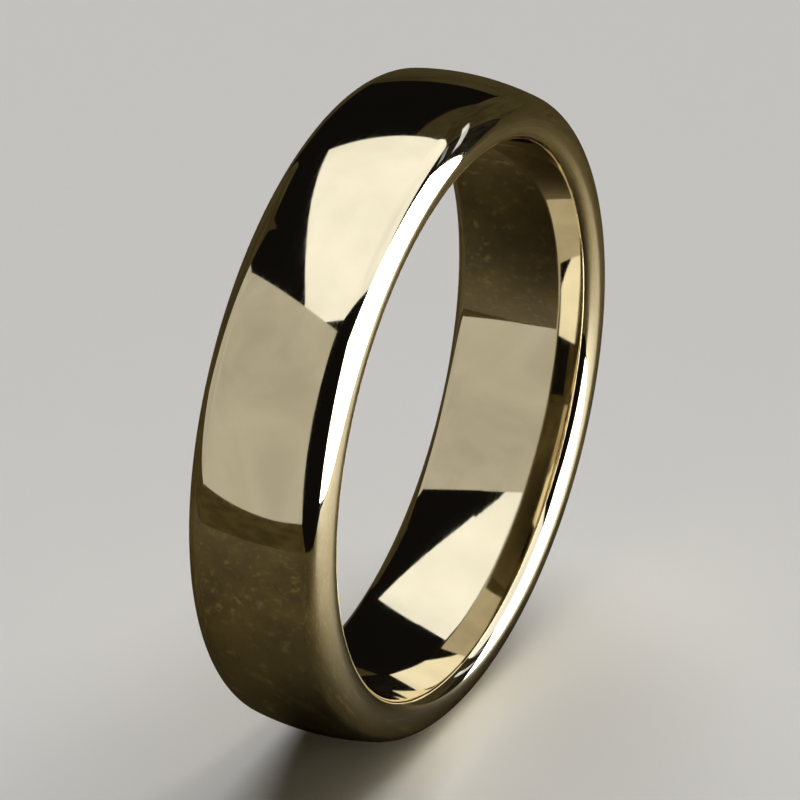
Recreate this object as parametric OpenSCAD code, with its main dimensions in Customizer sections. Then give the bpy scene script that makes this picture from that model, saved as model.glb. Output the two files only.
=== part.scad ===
// Plain wedding band: a low domed outside, rounded shoulders and a gently domed inside.
// The band is turned from one piece of metal. Its axis lies along Y, so that it stands on its
// rim with +Z up, and the origin is the centre of the finger hole.

/* [Size] */
// Diameter of the finger hole, across the straight land
finger_d = 17.9; // [14:0.1:24]
// Width of the band along its axis
band_w = 5; // [3.6:0.1:6]
// Thickness of the metal at the crown, from the finger hole to the outside
wall_t = 1.8; // [1.6:0.05:3]

/* [Outside] */
// Radius of the low dome across the width
crown_r = 8.625; // [6.5:0.005:30]
// Radius of the shoulder that blends the dome into the side
shoulder_r = 0.94; // [0.5:0.02:1.1]

/* [Inside] */
// Width of the straight land in the middle of the finger hole
land_w = 0.4; // [0.3:0.1:1.6]
// How far the inside has curved outwards from the land when it reaches the side
roll_depth = 0.65; // [0.35:0.01:0.8]
// Radius of the small blend between the roll and the side
edge_r = 0.5; // [0.1:0.05:0.6]

/* [Hidden] */
$fn = 360;

// Narrowest flat that a thin wall leaves on the side
least_flat = 0.04;
// Largest share of the roll that the small blend may take up
edge_share = 0.8;
// How far the helper wedges reach beyond an arc
reach = 2;

half_w = band_w / 2;
hole_r = finger_d / 2;
outer_r = hole_r + wall_t;
land_end = land_w / 2;

// The dome's centre, and the shoulder's, which touches the dome and the side
crown_at = [outer_r - crown_r, 0];
shoulder_z = half_w - shoulder_r;
shoulder_at = [crown_at.x + sqrt((crown_r - shoulder_r) ^ 2 - shoulder_z ^ 2), shoulder_z];

// The small blend's centre, and the roll's, which touches the land and the small blend
roll = min(roll_depth, shoulder_at.x - least_flat - hole_r);
edge = min(edge_r, roll * edge_share);
edge_at = [hole_r + roll, half_w - edge];
run = edge_at.y - land_end;
roll_r = (roll ^ 2 + run ^ 2 - edge ^ 2) / (2 * (roll - edge));
roll_at = [hole_r + roll_r, land_end];

// Angles of the normal where one arc passes into the next, from the outward radial direction
crown_turn = atan2(shoulder_at.y - crown_at.y, shoulder_at.x - crown_at.x);
roll_turn = 180 - atan2(run, roll_at.x - edge_at.x);

function on_arc(centre, r, turn) = centre + r * [cos(turn), sin(turn)];

// The part of a disc outside the chord between two of its points
module segment(centre, r, from, to) {
    intersection() {
        translate(centre) circle(r);
        polygon([
            on_arc(centre, r, from),
            on_arc(centre, r + reach, from),
            on_arc(centre, r + reach, to),
            on_arc(centre, r, to)
        ]);
    }
}

module blends() {
    segment(shoulder_at, shoulder_r, crown_turn, 90);
    segment(edge_at, edge, 90, roll_turn);
    segment(roll_at, roll_r, roll_turn, 180);
}

// Half of the straight-sided core, from the middle of the width up to the side
core_half = [
    on_arc(crown_at, crown_r, crown_turn),
    [shoulder_at.x, half_w],
    [edge_at.x, half_w],
    on_arc(roll_at, roll_r, roll_turn),
    [hole_r, land_end]
];

module cross_section() {
    polygon(concat(core_half, [for (i = [len(core_half) - 1 : -1 : 0]) [core_half[i].x, -core_half[i].y]]));
    segment(crown_at, crown_r, -crown_turn, crown_turn);
    blends();
    mirror([0, 1]) blends();
}

module band() {
    color("#c9b787") rotate([90, 0, 0]) rotate_extrude() cross_section();
}

band();
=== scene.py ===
import math

import bpy
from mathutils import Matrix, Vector


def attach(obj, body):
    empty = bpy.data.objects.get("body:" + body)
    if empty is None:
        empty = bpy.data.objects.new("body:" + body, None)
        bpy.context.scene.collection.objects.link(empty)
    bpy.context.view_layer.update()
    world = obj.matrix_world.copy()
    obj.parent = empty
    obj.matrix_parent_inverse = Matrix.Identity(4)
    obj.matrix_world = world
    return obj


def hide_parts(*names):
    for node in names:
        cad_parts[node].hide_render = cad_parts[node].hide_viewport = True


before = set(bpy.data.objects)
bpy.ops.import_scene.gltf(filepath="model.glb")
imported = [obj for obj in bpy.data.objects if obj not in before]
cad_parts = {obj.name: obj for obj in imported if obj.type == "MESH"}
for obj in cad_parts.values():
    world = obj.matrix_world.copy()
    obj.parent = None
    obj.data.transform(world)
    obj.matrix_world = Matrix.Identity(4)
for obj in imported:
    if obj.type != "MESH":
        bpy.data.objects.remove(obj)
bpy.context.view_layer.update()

MM = 0.001

# The band's cross-section, in mm: r outward from the axis, y along it. The values are the CAD
# part's, but for a shorter straight land, which puts the inside up to 6 microns off the CAD.
HALF_WIDTH = 2.5
HOLE_R = 8.95
OUTER_R = 10.75
LAND_END = 0.05
CROWN_R = 8.625
SHOULDER_R = 0.94
EDGE_R = 0.5
ROLL_DEPTH = 0.65

# Mesh fineness: steps round the band and along each part of the section
AROUND = 640
CROWN_STEPS = 12
SHOULDER_STEPS = 16
EDGE_STEPS = 9
ROLL_STEPS = 14
LAND_STEPS = 2

# Directions are kit azimuth and elevation in degrees: azimuth 0 faces -Y and 90 faces +X.
CAMERA_FROM = Vector((-0.7737, -0.3799, 0.5071))
CAMERA_DISTANCE = 0.880
CAMERA_RIGHT = 0.044 * MM
CAMERA_UP = 0.158 * MM
SENSOR = 36
LENS = 1249

GOLD = (0.93, 0.845, 0.66)
GOLD_WORN = (0.89, 0.80, 0.61)
SLATE_DARK = (0.020, 0.014, 0.003)
SLATE_LIGHT = (0.068, 0.050, 0.013)
SLATE_FLECK = (0.125, 0.098, 0.040)
SLATE_SHEEN = (1.0, 0.86, 0.58)
FLOOR_TONE = (0.80, 0.785, 0.76)
SUN_STRENGTH = 2.5
BACKDROP = (0.63, 0.62, 0.60)
MIRRORED_DARK = (0.0045, 0.0040, 0.0035)

# Height of the gold's relief, in metres: broad waves left by polishing, and the polish lines
WAVE_HEIGHT = 0.0000016
LINE_HEIGHT = 0.00000012

# The slate's colour and sheen are painted darker towards the band, a painted shadow of the band on it;
# distances are from the band's centre
SHADE_FROM = 0.011
SHADE_TO = 0.021
SHADE_LEAST = 0.25
SLAB_LIFT = 0.002 * MM

floor_z = -OUTER_R * MM


def arc(centre, radius, start, end, steps):
    """Points (r, y, normal angle) along an arc; angles are from the outward radial direction."""
    out = []
    for i in range(steps + 1):
        turn = math.radians(start + (end - start) * i / steps)
        r = centre[0] + radius * math.cos(turn)
        y = centre[1] + radius * math.sin(turn)
        out.append((r, y, turn))
    return out


def half_section():
    """From the crown over shoulder and side, round the inner roll, to the middle of the land."""
    crown_at = (OUTER_R - CROWN_R, 0)
    shoulder_y = HALF_WIDTH - SHOULDER_R
    shoulder_out = math.sqrt((CROWN_R - SHOULDER_R) ** 2 - shoulder_y ** 2)
    shoulder_at = (crown_at[0] + shoulder_out, shoulder_y)
    edge_at = (HOLE_R + ROLL_DEPTH, HALF_WIDTH - EDGE_R)
    run = edge_at[1] - LAND_END
    roll_r = (ROLL_DEPTH ** 2 + run ** 2 - EDGE_R ** 2) / (2 * (ROLL_DEPTH - EDGE_R))
    roll_at = (HOLE_R + roll_r, LAND_END)
    crown_turn = math.degrees(math.atan2(shoulder_y, shoulder_at[0] - crown_at[0]))
    roll_turn = 180 - math.degrees(math.atan2(run, roll_at[0] - edge_at[0]))
    points = arc(crown_at, CROWN_R, 0, crown_turn, CROWN_STEPS)
    points += arc(shoulder_at, SHOULDER_R, crown_turn, 90, SHOULDER_STEPS)[1:]
    points += arc(edge_at, EDGE_R, 90, roll_turn, EDGE_STEPS)
    points += arc(roll_at, roll_r, roll_turn, 180, ROLL_STEPS)[1:]
    land = [LAND_END * (1 - i / LAND_STEPS) for i in range(1, LAND_STEPS + 1)]
    points += [(HOLE_R, y, math.pi) for y in land]
    return points


def band_mesh():
    """The band as quads, with exact normals and a UV map in metres: u round it, v along the section."""
    half = half_section()
    loop = half + [(r, -y, -turn) for r, y, turn in reversed(half[1:-1])]
    count = len(loop)
    verts, normals = [], []
    for i in range(AROUND):
        a = 2 * math.pi * i / AROUND - math.pi / 2
        ca, sa = math.cos(a), math.sin(a)
        for r, y, turn in loop:
            verts.append((r * ca * MM, y * MM, r * sa * MM))
            normals.append((math.cos(turn) * ca, math.sin(turn), math.cos(turn) * sa))
    faces = []
    for i in range(AROUND):
        j = (i + 1) % AROUND
        for k in range(count):
            m = (k + 1) % count
            faces.append((i * count + k, i * count + m, j * count + m, j * count + k))
    mesh = bpy.data.meshes.new("gold_band")
    mesh.from_pydata(verts, [], faces)
    lengths = [0.0]
    for k in range(count):
        a, b = loop[k], loop[(k + 1) % count]
        lengths.append(lengths[-1] + math.hypot(a[0] - b[0], a[1] - b[1]) * MM)
    girth = 2 * math.pi * OUTER_R * MM
    uv = mesh.uv_layers.new(name="UVMap")
    for n, face in enumerate(faces):
        i, k = divmod(n, count)
        corners = ((i, k), (i, k + 1), (i + 1, k + 1), (i + 1, k))
        for c, (across, along) in enumerate(corners):
            uv.data[4 * n + c].uv = (across / AROUND * girth, lengths[along])
    mesh.polygons.foreach_set("use_smooth", [True] * len(faces))
    mesh.validate()
    mesh.normals_split_custom_set_from_vertices(normals)
    mesh.update()
    return mesh


def new_object(name, data):
    obj = bpy.data.objects.new(name, data)
    bpy.context.scene.collection.objects.link(obj)
    return obj


def new_material(name):
    material = bpy.data.materials.new(name)
    material.use_nodes = True
    material.node_tree.nodes.clear()
    return material, material.node_tree.nodes, material.node_tree.links


def add(nodes, kind, **values):
    """A node of that kind, with input sockets set by name."""
    node = nodes.new(kind)
    for key, value in values.items():
        node.inputs[key.replace("_", " ")].default_value = value
    return node


def remap(nodes, links, source, low, high, to_low, to_high):
    """The source, with low to high stretched to to_low to to_high and held there beyond."""
    node = add(nodes, "ShaderNodeMapRange",
               From_Min=low, From_Max=high, To_Min=to_low, To_Max=to_high)
    links.new(source, node.inputs["Value"])
    return node.outputs["Result"]


def gold_material():
    """Mirror-polished pale gold: faint mottling, low waves and polish lines round the band."""
    material, nodes, links = new_material("polished_gold")
    out = add(nodes, "ShaderNodeOutputMaterial")
    shader = add(nodes, "ShaderNodeBsdfPrincipled", Metallic=1.0)
    links.new(shader.outputs[0], out.inputs["Surface"])
    place = add(nodes, "ShaderNodeTexCoord")
    uv = add(nodes, "ShaderNodeUVMap")
    uv.uv_map = "UVMap"

    mottle = add(nodes, "ShaderNodeTexNoise", Scale=420.0, Detail=4.0, Roughness=0.6)
    links.new(place.outputs["Object"], mottle.inputs["Vector"])
    tone = add(nodes, "ShaderNodeMix")
    tone.data_type = "RGBA"
    tone.inputs["A"].default_value = (*GOLD, 1)
    tone.inputs["B"].default_value = (*GOLD_WORN, 1)
    links.new(remap(nodes, links, mottle.outputs[0], 0.35, 0.70, 0.0, 1.0), tone.inputs["Factor"])
    links.new(tone.outputs["Result"], shader.inputs["Base Color"])

    stretch = add(nodes, "ShaderNodeMapping", Scale=(350.0, 7000.0, 1.0))
    links.new(uv.outputs[0], stretch.inputs["Vector"])
    lines = add(nodes, "ShaderNodeTexNoise", Scale=1.0, Detail=3.0, Roughness=0.55)
    links.new(stretch.outputs[0], lines.inputs["Vector"])
    haze = remap(nodes, links, lines.outputs[0], 0.35, 0.75, 0.022, 0.055)
    cloud = remap(nodes, links, mottle.outputs[0], 0.40, 0.75, 0.0, 0.025)
    rough = add(nodes, "ShaderNodeMath")
    rough.operation = "ADD"
    links.new(haze, rough.inputs[0])
    links.new(cloud, rough.inputs[1])
    links.new(rough.outputs[0], shader.inputs["Roughness"])

    wave = add(nodes, "ShaderNodeTexNoise", Scale=330.0, Detail=1.5, Roughness=0.4)
    links.new(place.outputs["Object"], wave.inputs["Vector"])
    broad = add(nodes, "ShaderNodeBump", Strength=1.0, Distance=WAVE_HEIGHT)
    links.new(wave.outputs[0], broad.inputs["Height"])
    fine = add(nodes, "ShaderNodeBump", Strength=1.0, Distance=LINE_HEIGHT)
    links.new(lines.outputs[0], fine.inputs["Height"])
    links.new(broad.outputs[0], fine.inputs["Normal"])
    links.new(fine.outputs[0], shader.inputs["Normal"])
    return material


def slate_material():
    """The dark stone that the band mirrors: mottled and flecked, with a dull sheen, and painted shade
    near the band.
    """
    material, nodes, links = new_material("slate")
    out = add(nodes, "ShaderNodeOutputMaterial")
    shader = add(nodes, "ShaderNodeBsdfPrincipled")
    links.new(shader.outputs[0], out.inputs["Surface"])
    place = add(nodes, "ShaderNodeTexCoord")
    grain = add(nodes, "ShaderNodeTexNoise", Scale=160.0, Detail=9.0, Roughness=0.68)
    links.new(place.outputs["Object"], grain.inputs["Vector"])
    tone = add(nodes, "ShaderNodeMix")
    tone.data_type = "RGBA"
    tone.inputs["A"].default_value = (*SLATE_DARK, 1)
    tone.inputs["B"].default_value = (*SLATE_LIGHT, 1)
    links.new(remap(nodes, links, grain.outputs[0], 0.36, 0.68, 0.0, 1.0), tone.inputs["Factor"])
    dull = remap(nodes, links, grain.outputs[0], 0.3, 0.7, 0.44, 0.58)
    links.new(dull, shader.inputs["Roughness"])

    pits = add(nodes, "ShaderNodeTexNoise", Scale=900.0, Detail=3.0, Roughness=0.6)
    links.new(place.outputs["Object"], pits.inputs["Vector"])
    flecked = add(nodes, "ShaderNodeMix")
    flecked.data_type = "RGBA"
    flecked.inputs["B"].default_value = (*SLATE_FLECK, 1)
    links.new(tone.outputs["Result"], flecked.inputs["A"])
    links.new(remap(nodes, links, pits.outputs[0], 0.55, 0.72, 0.0, 1.0), flecked.inputs["Factor"])

    # Painted shade: the slate's colour and sheen fall off towards the band's centre, standing in for
    # the band's shadow on the slate
    reach = add(nodes, "ShaderNodeVectorMath")
    reach.operation = "LENGTH"
    links.new(place.outputs["Object"], reach.inputs[0])
    painted_band_shadow = remap(nodes, links, reach.outputs["Value"], SHADE_FROM, SHADE_TO, SHADE_LEAST, 1.0)
    shaded = add(nodes, "ShaderNodeVectorMath")
    shaded.operation = "SCALE"
    links.new(flecked.outputs["Result"], shaded.inputs[0])
    links.new(painted_band_shadow, shaded.inputs["Scale"])
    links.new(shaded.outputs[0], shader.inputs["Base Color"])
    sheen = add(nodes, "ShaderNodeMath")
    sheen.operation = "MULTIPLY"
    sheen.inputs[1].default_value = 0.6
    links.new(painted_band_shadow, sheen.inputs[0])
    links.new(sheen.outputs[0], shader.inputs["Specular IOR Level"])
    shader.inputs["Specular Tint"].default_value = (*SLATE_SHEEN, 1)
    return material


def floor_material():
    """Plain pale matt paper."""
    material, nodes, links = new_material("pale_floor")
    out = add(nodes, "ShaderNodeOutputMaterial")
    shader = add(nodes, "ShaderNodeBsdfDiffuse")
    links.new(shader.outputs[0], out.inputs["Surface"])
    shader.inputs["Color"].default_value = (*FLOOR_TONE, 1)
    return material


def glow_material(name, tone, dark=1.0, scale=(0, 0, 0), bend=0.0):
    """A lit card: even, or varying between dark * tone and tone over a stretched noise."""
    material, nodes, links = new_material(name)
    out = add(nodes, "ShaderNodeOutputMaterial")
    glow = add(nodes, "ShaderNodeEmission", Color=(*tone, 1))
    links.new(glow.outputs[0], out.inputs["Surface"])
    if dark < 1:
        place = add(nodes, "ShaderNodeTexCoord")
        stretch = add(nodes, "ShaderNodeMapping", Scale=scale)
        links.new(place.outputs["Object"], stretch.inputs["Vector"])
        cloud = add(nodes, "ShaderNodeTexNoise", Scale=1.0, Detail=3.0, Distortion=bend)
        links.new(stretch.outputs[0], cloud.inputs["Vector"])
        strength = remap(nodes, links, cloud.outputs[0], 0.35, 0.65, dark, 1.0)
        links.new(strength, glow.inputs["Strength"])
    return material


def towards(azimuth, elevation):
    """The unit vector in a direction."""
    a, e = math.radians(azimuth), math.radians(elevation)
    return Vector((math.sin(a) * math.cos(e), -math.cos(a) * math.cos(e), math.sin(e)))


def reflected_only(obj):
    """The piece of studio is seen in the gold alone."""
    obj.visible_camera = False
    obj.visible_diffuse = False
    obj.visible_shadow = False
    obj.visible_transmission = False
    obj.visible_volume_scatter = False
    return obj


def card(name, corners, material):
    mesh = bpy.data.meshes.new(name)
    mesh.from_pydata([tuple(c) for c in corners], [], [tuple(range(len(corners)))])
    mesh.materials.append(material)
    return reflected_only(new_object(name, mesh))


def sky_card(name, distance, corners, material):
    """A card with its corners in given directions, all at one distance."""
    return card(name, [towards(a, e) * distance for a, e in corners], material)


def upright(name, facing, distance, corners, material):
    """A card square to a direction; corners are across and up, as shares of the distance."""
    ahead, across = towards(facing, 0), towards(facing + 90, 0)
    places = [(ahead + across * x + Vector((0, 0, z))) * distance for x, z in corners]
    return card(name, places, material)


def overhead_softbox():
    """A big level cream softbox; its corners are shares of its height."""
    height = 0.5
    u, v = towards(25, 0), towards(115, 0)
    left = [(-0.43, 0.97), (-0.525, 0.0), (-0.575, -0.35), (-0.64, -0.60)]
    right = [(1.05, -0.68), (0.98, 0.92)]
    material = glow_material("softbox_glow", (1.12, 1.13, 1.07), dark=0.80, scale=(2, 2, 2))
    places = [(u * a + v * b + Vector((0, 0, 1))) * height for a, b in left + right]
    return card("overhead_softbox", places, material)


def left_panel():
    """A creased fabric panel, duller than the softbox."""
    material = glow_material("panel_glow", (0.49, 0.465, 0.39), dark=0.84,
                             scale=(9, 9, 9), bend=1.2)
    foot = [(-2.4, -0.20), (-0.45, -0.20), (0.36, -0.245)]
    top = [(0.36, 1.34), (-1.07, 1.43), (-2.4, 1.43)]
    return upright("left_panel", -110, 0.15, foot + top, material)


def front_window():
    """The brightest light, on the near right side."""
    material = glow_material("window_glow", (7.5, 7.5, 7.0))
    corners = [(-0.89, -0.21), (1.08, -0.21), (0.70, 1.0), (-0.89, 1.0)]
    return upright("front_window", 3, 0.05, corners, material)


def dim_surroundings():
    """Glowing cards, seen only in the gold, that stand in for lit dark brown things to the right and
    behind, a dim shaded gap, and one silvery pair of streaks; their brightness is painted light, not
    lamps.
    """
    brown = glow_material("dim_brown", (0.056, 0.045, 0.020), dark=0.55, scale=(8, 8, 8), bend=1.0)
    shade = glow_material("dim_shade", (0.022, 0.020, 0.015), dark=0.3, scale=(40, 40, 9))
    silver = glow_material("silver_streak", (0.95, 1.02, 1.12), dark=0.45, scale=(9, 9, 40))
    grey = glow_material("grey_streak", (0.30, 0.33, 0.38), dark=0.4, scale=(9, 9, 40))
    near, far = 0.40, 0.50
    sky_card("right_shade", far, ((51, -14), (64, -14), (62, 40), (40, 42)), shade)
    sky_card("right_brown", far, ((64, -14), (98, -14), (109, 46), (62, 40)), brown)
    sky_card("back_low", far, ((98, -14), (140, -14), (140, 4), (98, 4)), brown)
    sky_card("back_left", far, ((140, -14), (182, -14), (182, 50), (150, 30)), brown)
    sky_card("silver", near, ((48.5, 21.5), (52, 18.5), (75, 29), (71.5, 32.5)), silver)
    sky_card("grey", near, ((45, 34), (48, 31), (60, 37), (58, 40)), grey)


def slate_slab():
    """A dark slab round the band, which the gold mirrors instead of the pale floor.

    The outline is azimuth and reach: it ends close by on the left, widens past the front and runs
    far out to the right and behind.
    """
    close, far = 0.036, 0.32
    outline = [(angle, close) for angle in range(-175, -40, 15)]
    outline += [(-35, 0.055), (0, 0.062), (35, 0.075), (58, 0.14)]
    outline += [(angle, far) for angle in range(62, 180, 15)]
    rise = Vector((0, 0, floor_z + SLAB_LIFT))
    places = [towards(angle, 0) * radius + rise for angle, radius in outline]
    card("slate_slab", places, slate_material())


def left_table():
    """A glowing card, seen only in the gold, that stands in for a dim lit table top below and beyond
    the slab's left end; its brightness is painted light.
    """
    below, near, far, left, right = -0.035, -0.1, 0.3, -0.4, 0.054
    dim = glow_material("table_glow", (0.066, 0.051, 0.019), dark=0.6, scale=(60, 60, 60))
    ahead, across = towards(-110, 0), towards(-20, 0)
    corners = ((near, left), (far, left), (far, right), (near, right))
    places = [ahead * x + across * y + Vector((0, 0, below)) for x, y in corners]
    card("left_table", places, dim)


def pale_floor():
    """The wide plain floor that the camera sees; the gold does not mirror it."""
    reach = 40.0
    corners = [(x * reach, y * reach, floor_z) for x, y in ((-1, -1), (1, -1), (1, 1), (-1, 1))]
    mesh = bpy.data.meshes.new("floor")
    mesh.from_pydata(corners, [], [(0, 1, 2, 3)])
    mesh.materials.append(floor_material())
    floor = new_object("floor", mesh)
    floor.visible_glossy = False


def soft_sun():
    """Even, very soft light for the floor; the gold does not mirror it."""
    light = bpy.data.lights.new("soft_sun", "SUN")
    light.energy = SUN_STRENGTH
    light.angle = math.radians(60)
    sun = new_object("soft_sun", light)
    sun.rotation_euler = towards(100, 58).to_track_quat("Z", "Y").to_euler()
    sun.visible_glossy = False


def surroundings():
    """Pale to the camera, black to the gold."""
    world = bpy.data.worlds.new("studio")
    world.use_nodes = True
    nodes, links = world.node_tree.nodes, world.node_tree.links
    nodes.clear()
    out = add(nodes, "ShaderNodeOutputWorld")
    seen = add(nodes, "ShaderNodeBackground", Color=(*BACKDROP, 1))
    dark = add(nodes, "ShaderNodeBackground", Color=(*MIRRORED_DARK, 1))
    pick = add(nodes, "ShaderNodeMixShader")
    path = add(nodes, "ShaderNodeLightPath")
    links.new(path.outputs["Is Camera Ray"], pick.inputs["Fac"])
    links.new(dark.outputs[0], pick.inputs[1])
    links.new(seen.outputs[0], pick.inputs[2])
    links.new(pick.outputs[0], out.inputs["Surface"])
    bpy.context.scene.world = world


def camera():
    """A long lens from above and left of the band, level, shifted a little to frame it."""
    back = CAMERA_FROM.normalized()
    right = Vector((-back.y, back.x, 0)).normalized()
    up = back.cross(right)
    data = bpy.data.cameras.new("camera")
    data.lens = LENS
    data.sensor_width = SENSOR
    cam = new_object("camera", data)
    cam.location = back * CAMERA_DISTANCE + right * CAMERA_RIGHT + up * CAMERA_UP
    cam.rotation_euler = back.to_track_quat("Z", "Y").to_euler()
    bpy.context.scene.camera = cam


def gold_band():
    """The band itself, which stands in for the CAD's node."""
    mesh = band_mesh()
    mesh.materials.append(gold_material())
    piece = new_object("gold_band", mesh)
    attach(piece, "root")
    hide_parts("band")


gold_band()
pale_floor()
slate_slab()
left_table()
overhead_softbox()
left_panel()
front_window()
dim_surroundings()
soft_sun()
surroundings()
camera()
bpy.context.scene.view_settings.view_transform = "Standard"
